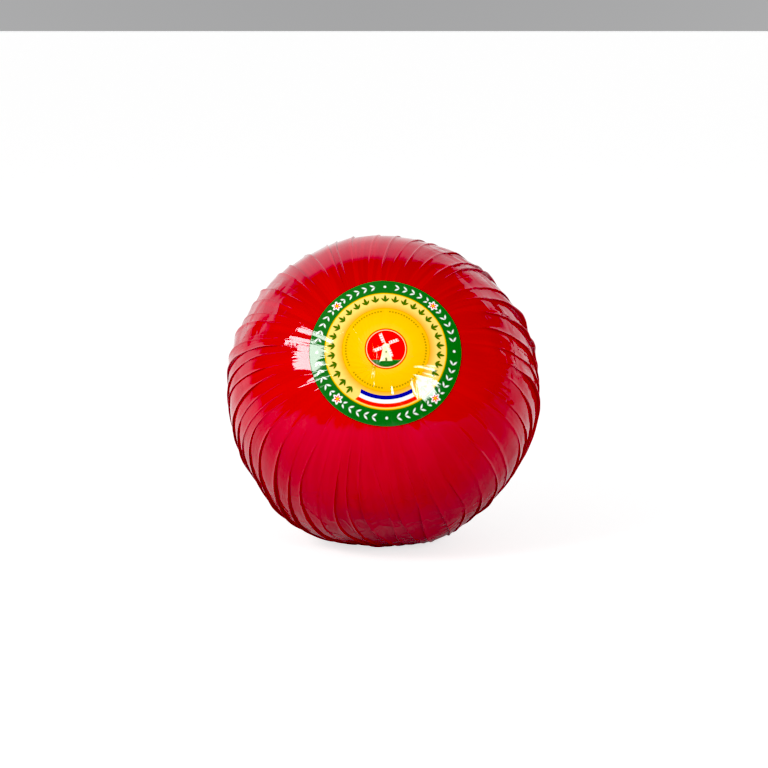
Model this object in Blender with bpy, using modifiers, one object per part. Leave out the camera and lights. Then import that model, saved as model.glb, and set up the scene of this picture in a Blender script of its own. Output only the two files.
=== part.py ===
"""A ball of cheese wrapped in film, with a round label on its front.

The ball is slightly flattened along its label's axis. It lies on its side on a small flat spot, with the
label facing -Y and tilted upwards. The film is drawn over the ball from under the label and gathered in
knife pleats at a point low at the back. The origin is on the floor, right under the ball's centre; +Z is up.
"""

import math

import bpy
import numpy as np

# Sizes in metres, angles in degrees.
BALL_RADIUS = 0.0735
BALL_HALF_HEIGHT = 0.066
BALL_SQUARENESS = 2.15
CENTRE_HEIGHT = 0.0725

LABEL_TILT = 27.7
LABEL_TURN = 1.6
LABEL_RADIUS = 0.0351
LABEL_THICKNESS = 0.0003
TOUCH_GAP = 0.0003

# The two points that every pleat runs between: one under the label, one where the film is gathered.
START_TURN, START_TILT = -3.0, 20.0
GATHER_TURN, GATHER_TILT = 119.5, -67.2

PLEAT_COUNT = 50
PLEAT_HEIGHT = 0.0013
PLEAT_UNEVENNESS = 0.22
PLEAT_WIDER_ABOVE = 0.10
PLEAT_SEED = 7
# Pleats between these two angles round the waist, clockwise from the top, lie the other way.
TURNED_FROM, TURNED_TO = 172.0, 262.0
# Where the pleats start to rise, as an angle from the label's axis, and how far that takes.
PLEAT_ONSET, PLEAT_ONSET_SLANT, PLEAT_RISE = 36.0, 7.0, 42.0
# The height of a pleat, from its low side to its fold, at these parts of its width.
PLEAT_STATIONS = (0.04, 0.36, 0.68, 0.96)
PLEAT_PROFILE = (0.0, 0.55, 0.86, 1.0)

# The puckered rosette round the gather: a low ring with a dimple in it.
ROSETTE_RADIUS = 0.009
ROSETTE_HEIGHT = 0.0009
DIMPLE_DEPTH = 0.0018

RING_COUNT = 27
LABEL_RINGS = 8
LABEL_STEPS = 56

FILM_RED = (0.60, 0.006, 0.025, 1.0)
LABEL_GOLD = (0.93, 0.60, 0.08, 1.0)


def unit(vectors):
    """The vectors, one in each row, scaled to a length of one."""
    return vectors / np.linalg.norm(vectors, axis=-1, keepdims=True)


def direction(turn, tilt):
    """The unit vector turned from -Y towards +X and then tilted up, both in degrees."""
    turn, tilt = math.radians(turn), math.radians(tilt)
    return np.array([math.sin(turn) * math.cos(tilt), -math.cos(turn) * math.cos(tilt), math.sin(tilt)])


def smooth_radius(angle):
    """The ball's radius at an angle from the label's axis: a superellipse turned about that axis."""
    across = (np.abs(np.sin(angle)) / BALL_RADIUS) ** BALL_SQUARENESS
    along = (np.abs(np.cos(angle)) / BALL_HALF_HEIGHT) ** BALL_SQUARENESS
    return (across + along) ** (-1 / BALL_SQUARENESS)


def ramp(value, start, end):
    """A smooth step from 0 at the start to 1 at the end."""
    part = np.clip((value - start) / (end - start), 0, 1)
    return part * part * (3 - 2 * part)


def angle_between(directions, axis):
    """The angles in radians from an axis to the directions."""
    return np.arccos(np.clip(directions @ axis, -1, 1))


def film_columns():
    """The angle round the waist and the relative height of each column of the film's grid.

    The folds are spaced by a seeded draw, wider over the top. Each pleat climbs from its low side to its
    fold by PLEAT_PROFILE, and drops to the next within a tenth of its width.
    """
    random = np.random.default_rng(PLEAT_SEED)
    even = np.arange(PLEAT_COUNT) / PLEAT_COUNT * 2 * math.pi
    widths = 1 + PLEAT_WIDER_ABOVE * np.cos(even) + PLEAT_UNEVENNESS * random.uniform(-1, 1, PLEAT_COUNT)
    widths *= 2 * math.pi / widths.sum()
    folds = np.cumsum(widths) - widths
    middles = np.degrees(folds + widths / 2)
    turned = (middles > TURNED_FROM) & (middles < TURNED_TO)
    stations = np.array(PLEAT_STATIONS)
    profile = np.array(PLEAT_PROFILE)
    stations_of = np.where(turned[:, None], 1 - stations[::-1], stations)
    heights = np.where(turned[:, None], profile[::-1], profile)
    angles = folds[:, None] + widths[:, None] * stations_of
    return angles.ravel(), heights.ravel()


def film_directions(waist_angles, parts):
    """Directions from the ball's centre to the film, for angles round the waist and parts of a pleat's run.

    Every pleat lies in a plane through the start and the gather, so its line is the circle in which that
    plane cuts the ball. The waist is the great circle halfway between the two points.
    """
    start = direction(START_TURN, START_TILT)
    gather = direction(GATHER_TURN, GATHER_TILT)
    chord = unit(gather - start)
    waist_top = unit(np.array([0, 0, 1.0]) - chord[2] * chord)
    waist_right = np.cross(chord, waist_top)
    waist = np.cos(waist_angles)[:, None] * waist_top + np.sin(waist_angles)[:, None] * waist_right
    normals = unit(np.cross(waist - start, gather - start))
    offsets = normals @ start
    centres = offsets[:, None] * normals
    radii = np.sqrt(1 - offsets ** 2)[:, None]
    first = (start - centres) / radii
    second = np.cross(normals, first)
    towards = gather - centres
    sweep = np.arctan2((towards * second).sum(1), (towards * first).sum(1)) % (2 * math.pi)
    run = parts * sweep
    return centres + radii * (np.cos(run)[:, None] * first + np.sin(run)[:, None] * second)


def film_radius(directions, heights):
    """The wrapped ball's radius: the smooth ball, plus the pleats, plus the rosette at the gather."""
    label_axis = direction(LABEL_TURN, LABEL_TILT)
    gather = direction(GATHER_TURN, GATHER_TILT)
    from_label = angle_between(directions, label_axis)
    from_gather = angle_between(directions, gather)
    onset = np.radians(PLEAT_ONSET + PLEAT_ONSET_SLANT * unit(directions - label_axis)[:, 0])
    rise = ramp(from_label, onset, onset + math.radians(PLEAT_RISE))
    narrowing = ramp(from_gather * BALL_RADIUS, 0, 2 * ROSETTE_RADIUS)
    ring = ROSETTE_HEIGHT * np.exp(-((from_gather * BALL_RADIUS / ROSETTE_RADIUS - 1) / 0.5) ** 2)
    dimple = DIMPLE_DEPTH * np.exp(-((from_gather * BALL_RADIUS / ROSETTE_RADIUS) / 0.5) ** 2)
    return smooth_radius(from_label) + PLEAT_HEIGHT * heights * rise * narrowing + ring - dimple


def principled(name, colour, roughness):
    """A Principled material of one colour, without metal."""
    material = bpy.data.materials.new(name)
    material.use_nodes = True
    shader = material.node_tree.nodes["Principled BSDF"]
    shader.inputs["Base Color"].default_value = colour
    shader.inputs["Roughness"].default_value = roughness
    shader.inputs["Metallic"].default_value = 0.0
    material.diffuse_color = colour
    return material


def place(part, collection, name, material):
    """Names an object, gives it its material and moves it into the cheese's collection."""
    part.name = name
    part.data.name = name
    part.data.materials.append(material)
    for owner in list(part.users_collection):
        owner.objects.unlink(part)
    collection.objects.link(part)
    part.location = (0, 0, CENTRE_HEIGHT)


def make_wrapped_cheese(collection):
    """The cheese in its pleated film: a sphere whose poles go to the start and the gather of the pleats."""
    waist_angles, heights = film_columns()
    columns = len(waist_angles)
    bpy.ops.mesh.primitive_uv_sphere_add(segments=columns, ring_count=RING_COUNT, radius=1.0)
    ball = bpy.context.object
    mesh = ball.data
    points = np.empty(len(mesh.vertices) * 3, dtype=np.float32)
    mesh.vertices.foreach_get("co", points)
    points = points.reshape(-1, 3).astype(float)

    # A sphere's vertex stands at a step round its axis and at a part of the way from pole to pole. The
    # steps are counted clockwise, as the waist's angles are.
    turn = np.arctan2(-points[:, 1], points[:, 0]) % (2 * math.pi)
    column = np.rint(turn / (2 * math.pi) * columns).astype(int) % columns
    parts = np.rint(np.arccos(np.clip(points[:, 2], -1, 1)) / math.pi * RING_COUNT) / RING_COUNT
    directions = film_directions(waist_angles[column], parts)
    points = directions * film_radius(directions, heights[column])[:, None]
    points[:, 2] = np.maximum(points[:, 2], -CENTRE_HEIGHT)

    mesh.vertices.foreach_set("co", points.astype(np.float32).ravel())
    mesh.update()
    mesh.shade_smooth()
    mesh.set_sharp_from_angle(angle=math.radians(40))
    place(ball, collection, "wrapped_cheese", principled("red film", FILM_RED, 0.15))


def make_label(collection):
    """The round label: a turned cap that follows the smooth ball, as thick as the film it is printed on."""
    label_angle = LABEL_RADIUS / smooth_radius(LABEL_RADIUS / BALL_HALF_HEIGHT / 2)
    angles = np.linspace(0, label_angle, LABEL_RINGS + 1)
    radii = smooth_radius(angles) + TOUCH_GAP
    profile = np.stack([radii * np.sin(angles), np.zeros_like(radii), radii * np.cos(angles)], axis=1)
    edges = [(ring, ring + 1) for ring in range(LABEL_RINGS)]
    mesh = bpy.data.meshes.new("label")
    mesh.from_pydata(profile.tolist(), edges, [])
    label = bpy.data.objects.new("label", mesh)
    bpy.context.scene.collection.objects.link(label)

    screw = label.modifiers.new("turn", "SCREW")
    screw.axis = "Z"
    screw.angle = 2 * math.pi
    screw.steps = LABEL_STEPS
    screw.render_steps = LABEL_STEPS
    screw.use_merge_vertices = True
    screw.merge_threshold = 0.00001
    screw.use_smooth_shade = True
    solidify = label.modifiers.new("thickness", "SOLIDIFY")
    solidify.thickness = LABEL_THICKNESS
    solidify.offset = 1.0

    label.rotation_euler = (math.radians(90 - LABEL_TILT), 0, math.radians(LABEL_TURN))
    place(label, collection, "label", principled("label print", LABEL_GOLD, 0.25))


def main():
    for thing in list(bpy.data.objects):
        bpy.data.objects.remove(thing, do_unlink=True)
    collection = bpy.data.collections.new("ball of cheese")
    bpy.context.scene.collection.children.link(collection)
    make_wrapped_cheese(collection)
    make_label(collection)


main()
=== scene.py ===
"""Looks of a ball of cheese in pleated film, with a round printed label, in metres in the solids' frame."""

import math

import bpy
import numpy as np
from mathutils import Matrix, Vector


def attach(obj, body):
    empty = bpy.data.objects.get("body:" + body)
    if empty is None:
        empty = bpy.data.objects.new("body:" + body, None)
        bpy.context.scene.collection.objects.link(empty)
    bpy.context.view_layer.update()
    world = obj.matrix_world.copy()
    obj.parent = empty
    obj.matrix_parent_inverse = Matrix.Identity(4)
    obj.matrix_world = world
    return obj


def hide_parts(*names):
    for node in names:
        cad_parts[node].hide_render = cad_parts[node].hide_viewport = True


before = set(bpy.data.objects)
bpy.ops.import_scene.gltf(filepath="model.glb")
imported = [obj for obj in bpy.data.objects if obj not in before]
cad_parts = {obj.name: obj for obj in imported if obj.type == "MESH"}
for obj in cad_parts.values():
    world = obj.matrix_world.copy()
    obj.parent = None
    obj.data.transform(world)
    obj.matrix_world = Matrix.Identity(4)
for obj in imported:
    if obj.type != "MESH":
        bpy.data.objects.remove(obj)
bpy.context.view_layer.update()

# The cheese in its film
# A ball of pressed cheese with a red coat, wrapped in thin glossy film. The film lies smooth round the label
# and is drawn over the ball into knife pleats, which meet in a puckered gather low at the back.

# The ball is a superellipse turned about the label's axis, and stands this high above the floor.
BALL_RADIUS = 0.0735
BALL_HALF_HEIGHT = 0.066
BALL_SQUARENESS = 2.15
CENTRE_HEIGHT = 0.0725

# Where the label's middle, the start of the pleats' lines and their gather lie from the ball's centre, in
# degrees turned from -Y towards +X and tilted up.
LABEL_TURN = 1.6
LABEL_TILT = 27.7
START_TURN = -3.0
START_TILT = 20.0
GATHER_TURN = 119.5
GATHER_TILT = -67.2
LABEL_RADIUS = 0.0351

PLEAT_COUNT = 50
PLEAT_HEIGHT = 0.0013
PLEAT_UNEVENNESS = 0.22
PLEAT_WIDER_ABOVE = 0.10
PLEAT_SEED = 7
# The folds between these angles, in degrees clockwise from the top, lie the other way.
TURNED_FROM = 172.0
TURNED_TO = 262.0
FOLD_SWAY = 0.20
FOLD_RIDGE = 0.00024
FOLD_BEAD = 0.00022

# Where a fold sets in, and where its far step up starts and ends, in degrees from the label's middle. Its
# near step up ends between the two values, counted from where it set in.
FOLD_ONSET = 38.5
ONSET_SOONER_ABOVE = 4
NEAR_STEP = (20, 40)
FAR_STEP = (68, 118)

# The film's own relief, in metres: the heights of its swells, ripples and crumples, the gather's puckered
# ring and dimple, and how far the ball's foot sags at the lower left and at the lower right.
SWELL_HEIGHT = 0.00014
RIPPLE_HEIGHT = 0.00003
CRUMPLE_HEIGHT = 0.00036
GATHER_RADIUS = 0.009
GATHER_RING = 0.0009
GATHER_DIMPLE = 0.0018
SAG_LEFT = 0.0024
SAG_RIGHT = 0.0016

FILM_ROWS = 121
# A whole pleat counts as this long in the streaks' pattern, so the streaks are much longer than wide.
RUN_STRETCH = 0.020

# A fold in section: the upper strip's rolled edge, then the lower strip's tucked start. Each point has its
# place across in strip widths from the fold, its height in pleat heights, and its share of the edge's bead.
ROLLED_EDGE = np.array([
    (-0.050, 0.95, 0.10),
    (-0.016, 1.00, 1.00),
    (0.012, 0.98, 0.90),
    (0.018, 0.75, 0.30),
])
TUCKED_START = np.array([
    (0.006, 0.45, 0.0),
    (-0.022, 0.20, 0.0),
    (0.000, 0.03, 0.0),
    (0.045, 0.00, 0.0),
])
FLAT_START = np.array([0.016, 0.048, 0.088, 0.130])
# Before it folds over, the film only stands up in a fine ridge along the line, this high beside it.
RIDGE_SIDE = np.array([1.0, 0.62, 0.22, 0.0])
STRIP_STATIONS = np.linspace(0.18, 0.83, 8)
# In between, a strip climbs to this share of the pleat's height, by this power of the way across.
CLIMB_SHARE = 0.96
CLIMB_POWER = 1.7
MIRRORED = np.array([-1, 1, 1])


def unit(vectors):
    """The vectors, along the last axis, scaled to a length of one."""
    return vectors / np.linalg.norm(vectors, axis=-1, keepdims=True)


def ramp(value, start, end):
    """A smooth step from 0 at the start to 1 at the end."""
    part = np.clip((value - start) / (end - start), 0, 1)
    return part * part * (3 - 2 * part)


def bell(value, middle, width):
    """A smooth hump, 1 at the middle and 1/e at the width from it."""
    return np.exp(-((value - middle) / width) ** 2)


def direction(turn, tilt):
    """The unit vector turned from -Y towards +X and then tilted up, both in degrees."""
    turn = math.radians(turn)
    tilt = math.radians(tilt)
    return np.array([math.sin(turn) * math.cos(tilt), -math.cos(turn) * math.cos(tilt), math.sin(tilt)])


TO_LABEL = direction(LABEL_TURN, LABEL_TILT)
TO_START = direction(START_TURN, START_TILT)
TO_GATHER = direction(GATHER_TURN, GATHER_TILT)

# The pleats spread round a waist, the great circle halfway between their start and their gather.
CHORD = unit(TO_GATHER - TO_START)
WAIST_TOP = unit(np.array([0, 0, 1.0]) - CHORD[2] * CHORD)
WAIST_RIGHT = np.cross(CHORD, WAIST_TOP)


def angle_from(way, ways):
    """The angle between one direction and each of many."""
    return np.arccos(np.clip(ways @ way, -1, 1))


def smooth_radius(angle):
    """The ball's radius at an angle from the label's axis: a superellipse turned about that axis."""
    across = (np.abs(np.sin(angle)) / BALL_RADIUS) ** BALL_SQUARENESS
    along = (np.abs(np.cos(angle)) / BALL_HALF_HEIGHT) ** BALL_SQUARENESS
    return (across + along) ** (-1 / BALL_SQUARENESS)


def ripple(points, size, seed, waves=20):
    """Smooth uneven relief of about unit height: the sum of plane waves of that size in drawn directions."""
    random = np.random.default_rng(seed)
    ways = unit(random.normal(size=(waves, 3))) * 2 * math.pi / (size * random.uniform(0.7, 1.4, (waves, 1)))
    return np.sin(points @ ways.T + random.uniform(0, 2 * math.pi, waves)).sum(-1) * math.sqrt(2 / waves)


def crumple(points, size, seed, waves=5):
    """Flat facets with sharp creases between them: the sum of plane waves of a triangle's form."""
    random = np.random.default_rng(seed)
    ways = unit(random.normal(size=(waves, 3))) * 2 * math.pi / (size * random.uniform(0.7, 1.6, (waves, 1)))
    slants = points @ ways.T + random.uniform(0, 2 * math.pi, waves)
    return np.arcsin(np.sin(slants)).sum(-1) * 2 / math.pi / math.sqrt(waves)


def film_directions(waist_angles, parts):
    """Directions from the ball's centre to the film, for angles round the waist and parts of a pleat's run.

    Every pleat lies in a plane through the start and the gather, so its line is the circle in which that
    plane cuts the ball.
    """
    waist = np.cos(waist_angles)[..., None] * WAIST_TOP + np.sin(waist_angles)[..., None] * WAIST_RIGHT
    normals = unit(np.cross(waist - TO_START, TO_GATHER - TO_START))
    offsets = normals @ TO_START
    centres = offsets[..., None] * normals
    radii = np.sqrt(1 - offsets ** 2)[..., None]
    first = (TO_START - centres) / radii
    second = np.cross(normals, first)
    towards = TO_GATHER - centres
    sweep = np.arctan2((towards * second).sum(-1), (towards * first).sum(-1)) % (2 * math.pi)
    run = parts * sweep
    return centres + radii * (np.cos(run)[..., None] * first + np.sin(run)[..., None] * second)


def closed_skin(name, rings, runs, slack, print_map=None):
    """A mesh object over rings of points, whose first and last ring each close on their middle point.

    rings has the shape rings, columns, 3. The columns go round clockwise, and the last meets the first. runs
    gives each point its place on the film, and slack how crumpled the film is there, and they are kept as
    attributes. print_map gives each point its place in a UV map, with the first column again after the last.
    """
    count, columns = rings.shape[:2]

    def with_middles(values):
        flat = values.reshape(-1, values.shape[-1])
        return np.concatenate([values[0].mean(0)[None], flat, values[-1].mean(0)[None]])

    points = with_middles(rings)
    ring, column = np.meshgrid(np.arange(count - 1), np.arange(columns), indexing="ij")
    after = (column + 1) % columns
    quads = np.stack([ring * columns + column, ring * columns + after,
                      (ring + 1) * columns + after, (ring + 1) * columns + column], axis=-1) + 1
    first_row = np.arange(columns)
    next_row = (first_row + 1) % columns
    last = 1 + (count - 1) * columns
    near = np.stack([np.zeros(columns, int), 1 + next_row, 1 + first_row], axis=-1)
    far = np.stack([np.full(columns, len(points) - 1), last + first_row, last + next_row], axis=-1)
    mesh = bpy.data.meshes.new(name)
    mesh.from_pydata(points, [], quads.reshape(-1, 4).tolist() + near.tolist() + far.tolist())
    on_film = mesh.attributes.new("run", "FLOAT_VECTOR", "POINT")
    on_film.data.foreach_set("vector", with_middles(runs).astype("f").ravel())
    looseness = mesh.attributes.new("slack", "FLOAT", "POINT")
    looseness.data.foreach_set("value", with_middles(slack[..., None]).astype("f").ravel())
    if print_map is not None:
        corners = np.stack([print_map[:-1, :-1], print_map[:-1, 1:],
                            print_map[1:, 1:], print_map[1:, :-1]], axis=2).reshape(-1, 2)
        near_middle = np.broadcast_to(print_map[0].mean(0), (columns, 2))
        far_middle = np.broadcast_to(print_map[-1].mean(0), (columns, 2))
        near_corners = np.stack([near_middle, print_map[0, 1:], print_map[0, :-1]], axis=1).reshape(-1, 2)
        far_corners = np.stack([far_middle, print_map[-1, :-1], print_map[-1, 1:]], axis=1).reshape(-1, 2)
        layer = mesh.uv_layers.new(name="print")
        places = np.concatenate([corners, near_corners, far_corners])
        layer.data.foreach_set("uv", places.astype("f").ravel())
    mesh.shade_smooth()
    piece = bpy.data.objects.new(name, mesh)
    bpy.context.scene.collection.objects.link(piece)
    return piece


def film_run(waist_angles, parts):
    """Where a spot is on the film: round the waist as a circle of the ball's size, and along its pleat."""
    return np.stack([np.cos(waist_angles) * BALL_RADIUS, np.sin(waist_angles) * BALL_RADIUS,
                     parts * RUN_STRETCH], axis=-1)


def film_slack(ways):
    """How crumpled the film is, from 0 to 1, with uneven edges.

    It is the largest of a zone at the upper right, a weak one below, one behind and a patch at the upper
    left, and it dies down close to the floor.
    """
    right = ramp(ways[..., 0], 0.05, 0.60) * ramp(angle_from(TO_LABEL, ways), 0.64, 1.00)
    right = right * (0.20 + 0.80 * ramp(ways[..., 2], -0.05, 0.35))
    below = 0.16 * ramp(-ways[..., 2], 0.30, 0.70)
    behind = 0.6 * ramp(ways[..., 1], 0.0, 0.6)
    patch = 0.5 * ramp(ways @ direction(-62, 34), 0.93, 0.99)
    most = np.maximum(np.maximum(right, below), np.maximum(behind, patch))
    most = most * (1 - 0.85 * ramp(-ways[..., 2], 0.55, 0.80))
    return np.clip(most * (0.75 + 0.35 * ripple(ways * BALL_RADIUS, 0.025, 8)), 0, 1)


def pleat_lines(parts, random):
    """The folds' angles round the waist, and the angle of each fold's line at each part of its run.

    The strips between the folds have drawn widths, a little wider above, that add up to a whole turn. A line
    sways from its fold's angle by a sine along its run, in shares of the strip's width.
    """
    even = np.arange(PLEAT_COUNT) / PLEAT_COUNT * 2 * math.pi
    widths = 1 + PLEAT_WIDER_ABOVE * np.cos(even) + PLEAT_UNEVENNESS * random.uniform(-1, 1, PLEAT_COUNT)
    widths *= 2 * math.pi / widths.sum()
    folds = np.cumsum(widths) - widths
    swings = random.uniform(0.8, 2.2, PLEAT_COUNT)
    phases = random.uniform(0, 2 * math.pi, PLEAT_COUNT)
    sway = FOLD_SWAY * np.sin(2 * math.pi * swings * parts[:, None] + phases)
    return folds, folds + widths * sway


def fold_heights(folds, fold_ways, random):
    """The height of each fold along its run, how far it has folded over, and the height of its fine ridge.

    A fold rises in a near and a far step, by its angle from the label. Both come sooner at the upper right,
    and the near one at the left. Slack film makes it uneven, and it dies down near the floor and the gather.
    The ridge stands where the film is drawn to a line but hasn't folded over yet, and is highest on top.
    """
    degrees = np.degrees(folds)
    upper_right = bell(degrees, 64.6, 38)
    lower_right = bell(degrees, 118, 30)
    left_side = bell(degrees, 285, 35)
    from_label = angle_from(TO_LABEL, fold_ways)
    upwards = unit(fold_ways - TO_LABEL)[..., 2]
    lateness = random.uniform(-3, 4, PLEAT_COUNT) - ONSET_SOONER_ABOVE * upwards
    onset = np.radians(FOLD_ONSET + lateness)
    near_reach = np.radians(random.uniform(*NEAR_STEP, PLEAT_COUNT) - 10 * upper_right - 11 * left_side)
    near_rise = ramp(from_label, onset + 0.05, onset + near_reach)
    far_start = np.radians(FAR_STEP[0] - 18 * upper_right)
    far_end = np.radians(FAR_STEP[1] - 26 * upper_right)
    near_share = 0.40 - 0.12 * ramp(-upwards, 0.5, 1.0) + 0.25 * upper_right + 0.24 * left_side
    heights = near_share * near_rise + (1 - near_share) * ramp(from_label, far_start, far_end)

    heights *= PLEAT_HEIGHT * (0.95 - 0.30 * np.cos(folds) + 0.60 * upper_right)
    heights *= 1 - 0.38 * lower_right
    heights *= random.uniform(0.4, 1.3, PLEAT_COUNT)
    heights *= 1 + 0.25 * ripple(fold_ways * BALL_RADIUS, 0.022, 3)
    heights *= 1 + 0.45 * film_slack(fold_ways) * crumple(fold_ways * BALL_RADIUS, 0.014, 4)
    heights *= 1 - 0.7 * ramp(-fold_ways[..., 2], 0.70, 0.92)
    heights *= ramp(angle_from(TO_GATHER, fold_ways), 0, 0.34)

    folded = ramp(heights, 0.00008, 0.0004)
    ridges = FOLD_RIDGE * ramp(from_label, onset - 0.05, onset + 0.10) * (1 - folded)
    ridges *= random.uniform(0.3, 1.4, PLEAT_COUNT) * (1 + 0.7 * np.cos(folds / 2) ** 8)
    return heights, folded, ridges


def strip_sections(folds, heights, folded, ridges):
    """The places across every strip, as shares of its width from its left fold, and their heights.

    Each strip runs from its tucked start up to its rolled edge, which hangs over the next strip, and climbs
    between them by a power of its width. A turned fold is the same section mirrored. Where the film is only
    drawn to a line, the places beside the line are even and carry the ridge.
    """
    turned = (np.degrees(folds) > TURNED_FROM) & (np.degrees(folds) < TURNED_TO)
    left_shape = np.where(turned[:, None, None], ROLLED_EDGE[::-1] * MIRRORED, TUCKED_START)
    right_shape = np.where(turned[:, None, None], TUCKED_START[::-1] * MIRRORED, ROLLED_EDGE)
    right_shape = np.roll(right_shape, -1, axis=0)
    right_turned = np.roll(turned, -1)
    right_heights = np.roll(heights, -1, axis=1)
    right_folded = np.roll(folded, -1, axis=1)
    right_ridges = np.roll(ridges, -1, axis=1)

    flat_end = -FLAT_START[::-1]
    left_across = FLAT_START + (left_shape[..., 0] - FLAT_START) * folded[..., None]
    right_across = 1 + flat_end + (right_shape[..., 0] - flat_end) * right_folded[..., None]
    middle_across = np.broadcast_to(STRIP_STATIONS, left_across.shape[:2] + STRIP_STATIONS.shape)

    left_up = left_shape[..., 1] * heights[..., None] + RIDGE_SIDE * ridges[..., None]
    left_up += left_shape[..., 2] * FOLD_BEAD * folded[..., None]
    right_up = right_shape[..., 1] * right_heights[..., None] + RIDGE_SIDE[::-1] * right_ridges[..., None]
    right_up += right_shape[..., 2] * FOLD_BEAD * right_folded[..., None]
    climb = CLIMB_SHARE * STRIP_STATIONS ** CLIMB_POWER
    fall = CLIMB_SHARE * (1 - STRIP_STATIONS) ** CLIMB_POWER
    middle_up = np.where(turned, heights, 0)[..., None] * fall
    middle_up = middle_up + np.where(right_turned, 0, right_heights)[..., None] * climb

    across = np.concatenate([left_across, middle_across, right_across], axis=-1)
    return across, np.concatenate([left_up, middle_up, right_up], axis=-1)


def film_surface():
    """The rings of the pleated film, from the start of the pleats to the gather, and what is kept of them.

    A point lies at its strip's angle and its part of the run. Its distance from the centre is the smooth
    ball's, plus its height in the strip's section, plus the film's relief. The floor presses the foot flat.
    """
    random = np.random.default_rng(PLEAT_SEED)
    parts = (np.arange(FILM_ROWS) + 0.5) / FILM_ROWS
    folds, lines = pleat_lines(parts, random)
    heights, folded, ridges = fold_heights(folds, film_directions(lines, parts[:, None]), random)
    across, up = strip_sections(folds, heights, folded, ridges)
    next_lines = np.roll(lines, -1, axis=1)
    next_lines[:, -1] += 2 * math.pi
    angles = lines[..., None] + (next_lines - lines)[..., None] * across
    angles = angles.reshape(FILM_ROWS, -1)
    ways = film_directions(angles, parts[:, None])

    from_label = angle_from(TO_LABEL, ways)
    from_gather = angle_from(TO_GATHER, ways) * BALL_RADIUS / GATHER_RADIUS
    slack = film_slack(ways)
    swell = SWELL_HEIGHT * ripple(ways * BALL_RADIUS, 0.030, 5) * ramp(from_label, 0.56, 0.95)
    crinkle = RIPPLE_HEIGHT * ripple(ways * BALL_RADIUS, 0.0075, 6) * ramp(from_label, 0.8, 1.4)
    crinkle += CRUMPLE_HEIGHT * slack * crumple(ways * BALL_RADIUS, 0.016, 9)
    gather = GATHER_RING * bell(from_gather, 1, 0.5) - GATHER_DIMPLE * bell(from_gather, 0, 0.5)
    sag = SAG_LEFT * ramp(-ways[..., 0], 0.12, 0.42) * ramp(-ways[..., 2], 0.50, 0.85)
    sag += SAG_RIGHT * ramp(ways[..., 0], 0.10, 0.30) * ramp(-ways[..., 2], 0.76, 0.90)
    reach = smooth_radius(from_label) + up.reshape(FILM_ROWS, -1) + swell + crinkle + gather + sag
    points = ways * reach[..., None]
    points[..., 2] = np.maximum(points[..., 2] + CENTRE_HEIGHT, 0)
    return points, film_run(angles, np.broadcast_to(parts[:, None], angles.shape)), slack


class Ink:
    """A number, colour or vector in a graph: a node's socket, on which arithmetic adds Math nodes."""

    def __init__(self, graph, socket):
        self.graph = graph
        self.socket = socket

    def math(self, operation, *others):
        """A Math node on this number and others."""
        return self.graph.math(operation, self, *others)

    def __add__(self, other):
        return self.math("ADD", other)

    __radd__ = __add__

    def __sub__(self, other):
        return self.math("SUBTRACT", other)

    def __rsub__(self, other):
        return self.graph.math("SUBTRACT", other, self)

    def __mul__(self, other):
        return self.math("MULTIPLY", other)

    __rmul__ = __mul__

    def __truediv__(self, other):
        return self.math("DIVIDE", other)

    def __abs__(self):
        return self.math("ABSOLUTE")

    def band(self, start, end):
        """A clamped straight ramp, 0 at the start and 1 at the end."""
        return self.graph.node("ShaderNodeMapRange", {"clamp": True}, {0: self, 1: start, 2: end})


class Graph:
    """A node tree, with one method that adds any node and returns an Ink."""

    def __init__(self, tree):
        self.tree = tree

    def node(self, kind, settings=None, inputs=None, output=0):
        """Adds a node: its settings first, then a value or a link for each named or numbered socket."""
        node = self.tree.nodes.new(kind)
        for name, value in (settings or {}).items():
            setattr(node, name, value)
        for name, value in (inputs or {}).items():
            self.feed(node.inputs[name], value)
        return Ink(self, node.outputs[output])

    def feed(self, socket, value):
        """Links an Ink to a socket, or sets the socket's own value."""
        if isinstance(value, Ink):
            self.tree.links.new(value.socket, socket)
        else:
            socket.default_value = value

    def math(self, operation, *values):
        """A Math node, with its values in order."""
        return self.node("ShaderNodeMath", {"operation": operation}, dict(enumerate(values)))

    def mix(self, share, first, second):
        """The first colour where the share is 0 and the second where it is 1."""
        return self.node("ShaderNodeMix", {"data_type": "RGBA"}, {0: share, 6: first, 7: second}, 2)

    def noise(self, place, scale, detail=2.0, distortion=0.0):
        """Noise from 0 to 1 at a place, with that many waves to the metre."""
        return self.node("ShaderNodeTexNoise", None,
                         {"Vector": place, "Scale": scale, "Detail": detail, "Distortion": distortion})

    def cells(self, place, scale):
        """How far a place is from its cell's middle, measured along the axes, which makes flat facets."""
        return self.node("ShaderNodeTexVoronoi", {"distance": "MANHATTAN"},
                         {"Vector": place, "Scale": scale})


class Finish(Graph):
    """A material with one Principled shader."""

    def __init__(self, name):
        self.material = bpy.data.materials.new(name)
        self.material.use_nodes = True
        super().__init__(self.material.node_tree)
        self.shader = self.tree.nodes["Principled BSDF"]

    def put(self, **values):
        """Sets or links the shader's own sockets, named with _ for each space."""
        for name, value in values.items():
            self.feed(self.shader.inputs[name.replace("_", " ")], value)


# The coat as seen through the film, below and above, paler in long streaks along the pleats, and with a
# painted highlight that makes the very top paler.
FILM_CRIMSON = (0.52, 0.0010, 0.017, 1)
FILM_SCARLET = (0.405, 0.0014, 0.022, 1)
FILM_PALE_STREAK_AND_TOP_LIGHT = (0.63, 0.006, 0.028, 1)
FILM_ROUGHNESS = 0.06
PLASTIC_IOR = 1.5

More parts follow.
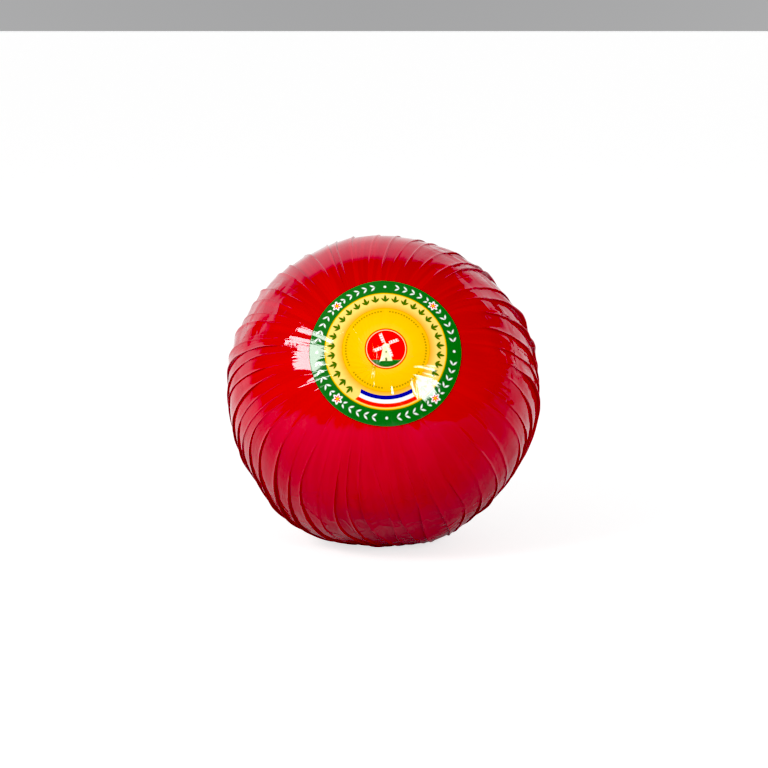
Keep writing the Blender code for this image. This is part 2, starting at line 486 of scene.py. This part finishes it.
# The wrinkles' heights, in metres: swells and waves all over, strands, more of them on slack film, facets
# and small chips on slack film, and creases close to the floor. Over the print, strands have their own
# height, and swells and waves are weaker by a share.
SWELL_BUMP = 0.00022
WAVE_BUMP = 0.00050
STRAND_BUMP = 0.000036
SLACK_STRAND_BUMP = 0.00006
PRINT_STRAND_BUMP = 0.000020
PRINT_SHARE = 0.6
FACET_BUMP = 0.0014
CHIP_BUMP = 0.00012
CREASE_BUMP = 0.00020


def film_wrinkles(finish, on_print=False):
    """The relief of the thin film as bump.

    Swells are noise in space, and waves are noise on the film's run, which draws them out along the pleats.
    Strands and creases stand where a noise crosses its middle. Facets and chips are distances to the middles
    of cells, measured along leant axes. Over the print the film is tight, so only weaker swells, waves and
    strands are left.
    """
    place = finish.node("ShaderNodeTexCoord", output="Object")
    run = finish.node("ShaderNodeAttribute", {"attribute_name": "run"}, output="Vector")
    soft = finish.noise(place, 60, 1.0, 0.3) * SWELL_BUMP + finish.noise(run, 100, 0.0) * WAVE_BUMP
    strands = abs(finish.noise(run, 125, 0.0, 0.4) - 0.5).band(0.0, 0.09)
    if on_print:
        height = soft * PRINT_SHARE + strands * PRINT_STRAND_BUMP
    else:
        slack = finish.node("ShaderNodeAttribute", {"attribute_name": "slack"}, output="Fac")
        leant = finish.node("ShaderNodeMapping", None, {"Vector": place, "Rotation": (0.6, 0.9, 0.4)})
        facets = finish.cells(leant, 85)
        chips = finish.cells(leant, 210)
        height = soft + strands * (slack * SLACK_STRAND_BUMP + STRAND_BUMP)
        height = height + (facets * FACET_BUMP + chips * CHIP_BUMP) * slack
        above_floor = finish.node("ShaderNodeSeparateXYZ", None, {0: place}, "Z")
        creases = abs(finish.noise(place, 80, 1.0, 0.9) - 0.5).band(0.0, 0.07)
        creased = slack * 0.2 + (1 - above_floor.band(0.018, 0.048)) * 0.75
        height = height - creases * creased * CREASE_BUMP
    return finish.node("ShaderNodeBump", None, {"Strength": 1.0, "Distance": 1.0, "Height": height})


def film_finish():
    """The red coat under clear film: crimson below, scarlet above, paler in streaks, with a painted
    highlight on top.
    """
    finish = Finish("red_film")
    place = finish.node("ShaderNodeTexCoord", output="Object")
    run = finish.node("ShaderNodeAttribute", {"attribute_name": "run"}, output="Vector")
    height = finish.node("ShaderNodeSeparateXYZ", None, {0: place}, "Z")
    upper = (height + (finish.noise(place, 22) - 0.5) * 0.04).band(0.085, 0.135)
    # Paler red in long streaks along the pleats' run.
    pale_streaks = finish.noise(run, 180, 3.0, 0.5).band(0.46, 0.62) * 0.30
    # A painted highlight: the very top of the ball is made paler, standing in for light from above.
    painted_top_light = height.band(0.137, 0.144) * 0.25
    coat = finish.mix(upper, FILM_CRIMSON, FILM_SCARLET)
    finish.put(Base_Color=finish.mix(pale_streaks + painted_top_light, coat, FILM_PALE_STREAK_AND_TOP_LIGHT), Roughness=FILM_ROUGHNESS,
               IOR=PLASTIC_IOR, Normal=film_wrinkles(finish))
    return finish.material


film = closed_skin("pleated_film", *film_surface())
film.data.materials.append(film_finish())
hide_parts("wrapped_cheese")
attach(film, "root")

# The label
# A round printed paper label, 70 mm across, that lies on the ball under the clear film. It is printed in
# flat colours, and the film over it is stretched smooth but for a few sharp tension creases.

LABEL_RINGS = 150
LABEL_COLUMNS = 360
LABEL_BACK_RINGS = 6
LABEL_LIFT = 0.00004
LABEL_THICKNESS = 0.00022

# Where the drawn film has pulled the label's edge in: degrees clockwise from the top, reach, and depth.
LABEL_DENTS = ((32, 36, 0.016), (105, 36, 0.010), (318, 36, 0.008))

# The film's tension creases over the label: from, to, in label radii right and up, and how high and wide.
TENSION_CREASES = (
    ((0.05, -0.36), (0.06, -0.74), 0.00013, 0.018),
    ((-0.12, 0.68), (-0.09, 0.50), 0.00010, 0.012),
    ((0.30, -0.45), (0.52, -0.95), 0.00015, 0.018),
    ((0.37, -0.42), (0.41, -0.68), 0.00012, 0.016),
    ((0.45, -0.62), (0.66, -0.92), 0.00014, 0.018),
    ((0.62, -0.52), (0.80, -0.76), 0.00012, 0.016),
    ((0.66, -0.42), (0.94, -0.60), 0.00014, 0.018),
    ((0.78, -0.26), (0.96, -0.46), 0.00012, 0.016),
    ((-0.99, 0.12), (-0.72, 0.05), 0.00012, 0.014),
    ((-0.99, -0.12), (-0.66, -0.06), 0.00012, 0.014),
    ((-0.96, -0.34), (-0.70, -0.24), 0.00012, 0.014),
    ((-0.84, -0.56), (-0.62, -0.42), 0.00012, 0.014),
)


def crease_lift(flat):
    """The height of the tension creases at places on the flat label: a narrow ridge along each line."""
    lift = np.zeros(flat.shape[:-1])
    for start, end, height, width in TENSION_CREASES:
        start = np.array(start)
        along = np.array(end) - start
        part = np.clip(((flat - start) @ along) / (along @ along), 0, 1)
        aside = np.linalg.norm(flat - start - part[..., None] * along, axis=-1)
        lift += height * bell(aside, 0, width) * np.sin(math.pi * np.clip(part, 0.02, 0.98)) ** 0.5
    return lift


def edge_dents(turns):
    """How far the label's edge is pulled in at each turn, in label radii: half a cosine wave a dent."""
    dents = np.zeros_like(turns)
    for turn, reach, depth in LABEL_DENTS:
        aside = np.clip((turns - math.radians(turn)) / math.radians(reach), -1, 1)
        dents += depth * np.cos(aside * math.pi / 2)
    return dents


def film_place(ways):
    """The waist angle and part of its pleat's run for each direction, the reverse of film_directions.

    Every pleat's plane holds the chord. So the line from the start through a direction, seen along the
    chord, meets the waist where the pleat does.
    """
    level = TO_START - (TO_START @ CHORD) * CHORD
    aside = ways - TO_START
    aside = unit(aside - (aside @ CHORD)[..., None] * CHORD)
    reach = -(aside @ level) + np.sqrt((aside @ level) ** 2 + 1 - level @ level)
    waist = level + reach[..., None] * aside
    to_start = np.linalg.norm(ways - TO_START, axis=-1)
    to_gather = np.linalg.norm(ways - TO_GATHER, axis=-1)
    return np.arctan2(waist @ WAIST_RIGHT, waist @ WAIST_TOP), to_start / (to_start + to_gather)


def label_surface():
    """The rings of the label, their places on the film, their slack, and its UV map.

    The rings go out over the face, round the edge, and in under the back, on circles about the label's axis.
    The map is the label laid flat, with its middle at 0.5, 0.5 and its radius as 0.5.
    """
    label_angle = LABEL_RADIUS / smooth_radius(LABEL_RADIUS / BALL_HALF_HEIGHT / 2)
    turns = np.arange(LABEL_COLUMNS + 1) / LABEL_COLUMNS * 2 * math.pi
    face = (np.arange(LABEL_RINGS) + 0.5) / LABEL_RINGS
    back = 1 - (np.arange(LABEL_BACK_RINGS) + 0.5) / LABEL_BACK_RINGS
    shares = np.concatenate([face, [1.0, 1.0], back])[:, None]
    upper = np.concatenate([np.ones(LABEL_RINGS), [0.7, 0.3], np.zeros(LABEL_BACK_RINGS)])[:, None]
    across = direction(LABEL_TURN + 90, 0)
    above = np.cross(TO_LABEL, across)
    angles = shares * label_angle * (1 - edge_dents(turns) * shares ** 2)
    flat = shares[..., None] * np.stack([np.sin(turns), np.cos(turns)], axis=-1)
    sides = np.sin(turns)[:, None] * across + np.cos(turns)[:, None] * above
    ways = np.cos(angles)[..., None] * TO_LABEL + np.sin(angles)[..., None] * sides
    lift = LABEL_LIFT + upper * (LABEL_THICKNESS + crease_lift(flat))
    points = ways * (smooth_radius(angles) + lift)[..., None]
    points[..., 2] += CENTRE_HEIGHT
    points = points[:, :-1]
    ways = ways[:, :-1]
    return points, film_run(*film_place(ways)), film_slack(ways), 0.5 + 0.5 * flat


# The label's print, in label radii: where its rings end and its motifs stand, and the motifs' sizes.
RIM_INNER = 0.795
RIM_LINE = 0.014
DOT_RING = 0.895
DOT_RADIUS = 0.017
FLOWER_RADIUS = 0.058
WREATH_RING = 0.705
RIBBON_RING = 0.690
RIBBON_HALF_WIDTH = 0.075
GLOW_OUTER = 0.66
DISC_RADIUS = 0.56
FINE_RING = 0.520
ROUNDEL_RADIUS = 0.275
PRINT_EDGE = 0.010

# How many dashes and pauses, sprigs and pairs of leaves there are to a whole turn.
DASH_COUNT = 84
PAUSE_COUNT = 6
SPRIG_COUNT = 34
LEAF_PAIRS = 52
CORNERS = 4

LEAF_GREEN = (0.034, 0.152, 0.032, 1)
DEEP_GREEN = (0.060, 0.130, 0.010, 1)
PAPER_WHITE = (0.80, 0.80, 0.78, 1)
PALE_YELLOW = (0.84, 0.58, 0.145, 1)
GLOW_ORANGE = (0.82, 0.33, 0.022, 1)
GOLD = (0.82, 0.425, 0.004, 1)
LIGHT_GOLD = (0.82, 0.50, 0.045, 1)
ORANGE_RED = (0.80, 0.022, 0.002, 1)
RIBBON_RED = (0.86, 0.035, 0.006, 1)
RIBBON_BLUE = (0.008, 0.010, 0.300, 1)
CREAM = (0.88, 0.80, 0.46, 1)
OLIVE = (0.20, 0.17, 0.012, 1)
PRINT_ROUGHNESS = 0.08


def label_finish():
    """The print of the label: a green rim with a leaf garland, a pale field, a golden disc and a windmill.

    Each motif is a signed distance in label radii, below 0 inside it, and is laid over what stands before.
    """
    finish = Finish("label_print")
    print_map = finish.node("ShaderNodeUVMap", {"uv_map": "print"})
    x = (finish.node("ShaderNodeSeparateXYZ", None, {0: print_map}, "X") - 0.5) * 2
    y = (finish.node("ShaderNodeSeparateXYZ", None, {0: print_map}, "Y") - 0.5) * 2

    def length(across, up):
        """How long a flat step is."""
        return finish.math("SQRT", across * across + up * up)

    radius = length(x, y)
    angle = finish.math("ARCTAN2", y, x)

    def inside(distance):
        """1 where a signed distance is below 0, with an edge as soft as print on paper."""
        return (0 - distance).band(-PRINT_EDGE / 2, PRINT_EDGE / 2)

    def around(count, shift=0.0):
        """The angle from the middle of the nearest of so many equal sectors, shifted by a share of one."""
        sector = 2 * math.pi / count
        return ((angle / sector + 100 + shift).math("FRACT") - 0.5) * sector

    def leaf(along, up, half_length, half_width, lean):
        """A pointed leaf round the origin, bowed like a parabola to its tips, leaning from upright."""
        tall = up * math.cos(lean) + along * math.sin(lean)
        wide = abs(along * math.cos(lean) - up * math.sin(lean))
        bow = 1 - (tall / half_length) * (tall / half_length)
        return inside(wide - bow * half_width)

    def either(*masks):
        """The largest of several masks."""
        whole = masks[0]
        for mask in masks[1:]:
            whole = whole.math("MAXIMUM", mask)
        return whole

    colour = finish.mix(radius.band(DISC_RADIUS, GLOW_OUTER), GLOW_ORANGE, PALE_YELLOW)
    disc_colour = finish.mix(radius.band(0.20, DISC_RADIUS), LIGHT_GOLD, GOLD)
    colour = finish.mix(inside(radius - DISC_RADIUS), colour, disc_colour)

    # Fine dashes round the inside of the golden disc, with pauses.
    dash = inside(abs(around(DASH_COUNT)) * FINE_RING - 0.011) * inside(abs(radius - FINE_RING) - 0.011)
    pause = 1 - inside(abs(around(PAUSE_COUNT)) * FINE_RING - 0.030)
    colour = finish.mix(dash * pause * 0.75, colour, OLIVE)

    # A wreath of sprigs round the pale field, open at its foot for a ribbon of three colours.
    sprig_x = around(SPRIG_COUNT) * radius
    sprig_y = radius - WREATH_RING
    sprig = either(leaf(sprig_x, sprig_y - 0.008, 0.058, 0.018, 0.0),
                   leaf(sprig_x - 0.024, sprig_y + 0.014, 0.042, 0.014, 0.75),
                   leaf(sprig_x + 0.024, sprig_y + 0.014, 0.042, 0.014, -0.75))
    from_foot = ((angle + math.pi / 2).math("COSINE")).math("ARCCOSINE")
    colour = finish.mix(sprig * inside(0.66 - from_foot), colour, DEEP_GREEN)
    from_ribbon = abs(radius - RIBBON_RING)
    ribbon = inside(from_foot - 0.52 - from_ribbon * 0.5) * inside(from_ribbon - RIBBON_HALF_WIDTH)
    red_white = finish.mix(inside(RIBBON_RING + 0.025 - radius), PAPER_WHITE, RIBBON_RED)
    stripes = finish.mix(inside(radius - RIBBON_RING + 0.025), red_white, RIBBON_BLUE)
    colour = finish.mix(ribbon, colour, stripes)

    # The green rim inside a golden line, with pairs of leaves between four dots and four small flowers.
    colour = finish.mix(inside(RIM_INNER - RIM_LINE - radius), colour, GOLD)
    colour = finish.mix(inside(RIM_INNER - radius), colour, LEAF_GREEN)
    pair_x = around(LEAF_PAIRS) * DOT_RING
    rim_y = radius - DOT_RING
    pair = either(leaf(pair_x, rim_y - 0.024, 0.036, 0.011, 0.9),
                  leaf(pair_x, rim_y + 0.024, 0.036, 0.011, -0.9))
    from_flower = around(CORNERS) * DOT_RING
    from_dot = around(CORNERS, 0.5) * DOT_RING
    flower_way = finish.math("ARCTAN2", rim_y, from_flower)
    flower_out = length(from_flower, rim_y)
    petals = flower_out - FLOWER_RADIUS - (flower_way * 6).math("COSINE") * 0.014
    clear = inside(0.095 - abs(from_flower)) * inside(0.108 - abs(from_dot)) * inside(abs(rim_y) - 0.07)
    dots = inside(length(from_dot, rim_y) - DOT_RADIUS)
    colour = finish.mix(either(pair * clear, dots, inside(petals)), colour, PAPER_WHITE)
    colour = finish.mix(inside(petals + 0.024), colour, RIBBON_RED)
    colour = finish.mix(inside(flower_out - 0.018), colour, GOLD)

    # The roundel: a windmill on green ground under an orange-red sky, inside a cream line.
    colour = finish.mix(inside(radius - ROUNDEL_RADIUS), colour, ORANGE_RED)
    colour = finish.mix(inside(abs(radius - ROUNDEL_RADIUS + 0.022) - 0.004), colour, CREAM)
    field = inside(radius - ROUNDEL_RADIUS + 0.030)
    colour = finish.mix(field * inside(y + 0.150), colour, LEAF_GREEN)
    above_foot = inside(-0.165 - y)
    tower = inside(abs(x) - 0.036 + (y - 0.030) * 0.22) * inside(y - 0.030) * above_foot
    cap = inside((length(x / 0.046, (y - 0.034) / 0.036) - 1) * 0.04)
    colour = finish.mix(either(tower, cap), colour, CREAM)
    door = inside(abs(x) - 0.013) * inside(y + 0.122) * above_foot
    window = inside(abs(x) - 0.009) * inside(abs(y + 0.045) - 0.012)
    colour = finish.mix(either(door, window), colour, DEEP_GREEN)

    # The four sails: in each quarter turn a spar, and beside it cloth that shows between bars.
    hub_y = y - 0.046
    hub_out = length(x, hub_y)
    quarter = math.pi / 2
    sail_way = ((finish.math("ARCTAN2", hub_y, x) / quarter + 10.28).math("FRACT") - 0.5) * quarter
    sail_x = hub_out * sail_way.math("COSINE")
    sail_y = hub_out * sail_way.math("SINE")
    spar = inside(abs(sail_y) - 0.005) * inside(sail_x - 0.178)
    cloth = inside(abs(sail_y - 0.021) - 0.016) * inside(abs(sail_x - 0.112) - 0.062)
    bars = inside(abs(((sail_x * 30).math("FRACT") - 0.5) / 30) - 0.012)
    colour = finish.mix(either(spar, cloth * bars) * field, colour, PAPER_WHITE)

    finish.put(Base_Color=colour, Roughness=PRINT_ROUGHNESS, IOR=PLASTIC_IOR,
               Normal=film_wrinkles(finish, on_print=True))
    return finish.material


label = closed_skin("printed_label", *label_surface())
label.data.materials.append(label_finish())
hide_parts("label")
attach(label, "root")

# The studio
# A pale floor under soft light. A bright white backdrop behind the ball shows in its film as a pale rim, the
# side towards the camera is dark, and two softboxes left and right of the camera make the glints.

CAMERA_ELEVATION = 11.0
CAMERA_DISTANCE = 1.10
CAMERA_LENS = 108.2
CAMERA_SENSOR = 36.0
# The ball's middle stands this far left of and below the middle of the picture.
CAMERA_ASIDE = 0.0007
CAMERA_ABOVE = 0.0031

# The floor is this wide to each side, and lies this far under the ball.
FLOOR_REACH = 6
FLOOR_GAP = 0.0002
# How light the floor is to the camera, to light that it throws on the ball, and to all else.
FLOOR_SEEN = (0.37, 0.37, 0.37, 1)
FLOOR_BOUNCED = (0.34, 0.34, 0.34, 1)
FLOOR_UNSEEN = (0.62, 0.62, 0.62, 1)
FLOOR_ROUGHNESS = 0.7
FLOOR_GLOW = 0.72
FLOOR_MIRRORED_GLOW = 0.45

# The tones that the camera's curve takes for black, in red, green and blue.
BLACK_LEVEL = (0.045, 0.045, 0.039)


def look_from(thing, place, target):
    """Puts a camera or light at a place, facing a target."""
    thing.location = place
    thing.rotation_euler = (Vector(target) - Vector(place)).to_track_quat("-Z", "Y").to_euler()


def softbox(name, turn, tilt, distance, width, height, power):
    """A rectangular area light, turned from -Y towards +X and tilted up as seen from the ball."""
    light = bpy.data.lights.new(name, "AREA")
    light.shape = "RECTANGLE"
    light.size = width
    light.size_y = height
    light.energy = power
    lamp = bpy.data.objects.new(name, light)
    bpy.context.scene.collection.objects.link(lamp)
    middle = np.array([0, 0, CENTRE_HEIGHT])
    look_from(lamp, middle + direction(turn, tilt) * distance, middle)


softbox("softbox_left", turn=-54, tilt=33, distance=1.2, width=0.47, height=0.38, power=9.5)
softbox("softbox_right", turn=26.5, tilt=22, distance=1.4, width=0.30, height=0.34, power=7.0)

floor_mesh = bpy.data.meshes.new("floor")
floor_corners = [(across * FLOOR_REACH, along * FLOOR_REACH, -FLOOR_GAP)
                 for across, along in ((-1, -1), (1, -1), (1, 1), (-1, 1))]
floor_mesh.from_pydata(floor_corners, [], [(0, 1, 2, 3)])
floor = bpy.data.objects.new("floor", floor_mesh)
bpy.context.scene.collection.objects.link(floor)

# The camera sees the floor glow nearly white. The film mirrors a glow only from the floor behind the ball.
floor_paper = Finish("floor_paper")
seen = floor_paper.node("ShaderNodeLightPath", output="Is Camera Ray")
bounced = floor_paper.node("ShaderNodeLightPath", output="Is Diffuse Ray")
mirrored = floor_paper.node("ShaderNodeLightPath", output="Is Glossy Ray")
place = floor_paper.node("ShaderNodeTexCoord", output="Object")
away = floor_paper.node("ShaderNodeVectorMath", {"operation": "LENGTH"}, {0: place}, "Value")
backwards = floor_paper.node("ShaderNodeSeparateXYZ", None, {0: place}, "Y")
far_back = away.band(0.06, 0.22) * backwards.band(-0.04, 0.06)
unseen = floor_paper.mix(bounced, FLOOR_UNSEEN, FLOOR_BOUNCED)
floor_paper.put(Base_Color=floor_paper.mix(seen, unseen, FLOOR_SEEN), Roughness=FLOOR_ROUGHNESS,
                Emission_Color=seen * FLOOR_GLOW + mirrored * far_back * FLOOR_MIRRORED_GLOW,
                Emission_Strength=1.0)
floor.data.materials.append(floor_paper.material)

# The film mirrors a backdrop that starts well behind the ball and brightens to the sides. All other light is
# a soft sky, brighter from the low front and from both sides, a little more from the right.
world = bpy.data.worlds.new("studio")
bpy.context.scene.world = world
world.use_nodes = True
sky = Graph(world.node_tree)
way = sky.node("ShaderNodeTexCoord")
sideways = sky.node("ShaderNodeSeparateXYZ", None, {0: way}, "X")
behind = sky.node("ShaderNodeVectorMath", {"operation": "DOT_PRODUCT"},
                  {0: way, 1: tuple(-direction(0, CAMERA_ELEVATION))}, "Value")
low_front = sky.node("ShaderNodeVectorMath", {"operation": "DOT_PRODUCT"},
                     {0: way, 1: tuple(direction(-10, -50))}, "Value")
backdrop = behind.band(0.28, 0.42) * (sideways * 0.08 + sideways * sideways * 0.25 + 0.98) + 0.02
soft_light = low_front * 0.35 + sideways * sideways * 0.6 + sideways.band(0.0, 1.0) * 0.12 + 0.62
in_mirror = sky.node("ShaderNodeLightPath", output="Is Glossy Ray")
background = sky.tree.nodes["Background"]
background.inputs["Color"].default_value = (1, 1, 1, 1)
sky.feed(background.inputs["Strength"], in_mirror * backdrop + (1 - in_mirror) * soft_light)

camera = bpy.data.objects.new("camera", bpy.data.cameras.new("camera"))
bpy.context.scene.collection.objects.link(camera)
camera.data.lens = CAMERA_LENS
camera.data.sensor_width = CAMERA_SENSOR
towards_camera = direction(0, CAMERA_ELEVATION)
camera_up = np.cross(np.array([1.0, 0, 0]), -towards_camera)
aim = np.array([CAMERA_ASIDE, 0, CENTRE_HEIGHT]) + CAMERA_ABOVE * camera_up
look_from(camera, aim + towards_camera * CAMERA_DISTANCE, aim)
bpy.context.scene.camera = camera
settings = bpy.context.scene.view_settings
settings.view_transform = "Standard"
settings.use_curve_mapping = True
settings.curve_mapping.black_level = BLACK_LEVEL
settings.curve_mapping.update()
